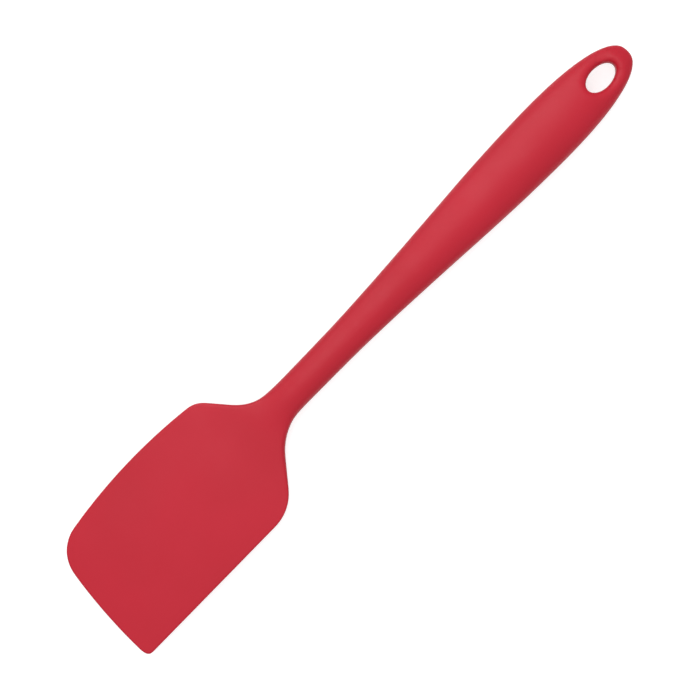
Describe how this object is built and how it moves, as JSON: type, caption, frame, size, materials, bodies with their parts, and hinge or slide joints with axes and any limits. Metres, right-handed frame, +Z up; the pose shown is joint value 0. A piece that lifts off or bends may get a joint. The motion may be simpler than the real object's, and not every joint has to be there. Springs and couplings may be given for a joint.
{
  "type": "silicone spatula",
  "caption": "Seamless silicone spatula: flat flexible blade with a square corner, a bowed side and a rounded corner, on an oval-section handle that ends in an oval hanging hole.",
  "frame": {"origin": "middle of the bottom of the bounding box, under the middle of the tool's length, where it lies on a worktop", "axes": "+X along the handle from the blade's tip edge to the hanging hole, +Y towards the bowed side of the blade, +Z up out of the blade's front face"},
  "size_m": [0.2801, 0.0548, 0.0134],
  "materials": {
    "red_silicone": "matt moulded silicone",
    "filled_nylon": "glass-filled nylon, as moulded",
    "stainless_strip": "stamped stainless strip, lightly brushed"
  },
  "bodies": {
    "root": {"silicone_skin": "red_silicone", "nylon_core": "filled_nylon", "steel_spine": "stainless_strip"}
  },
  "joints": []
}
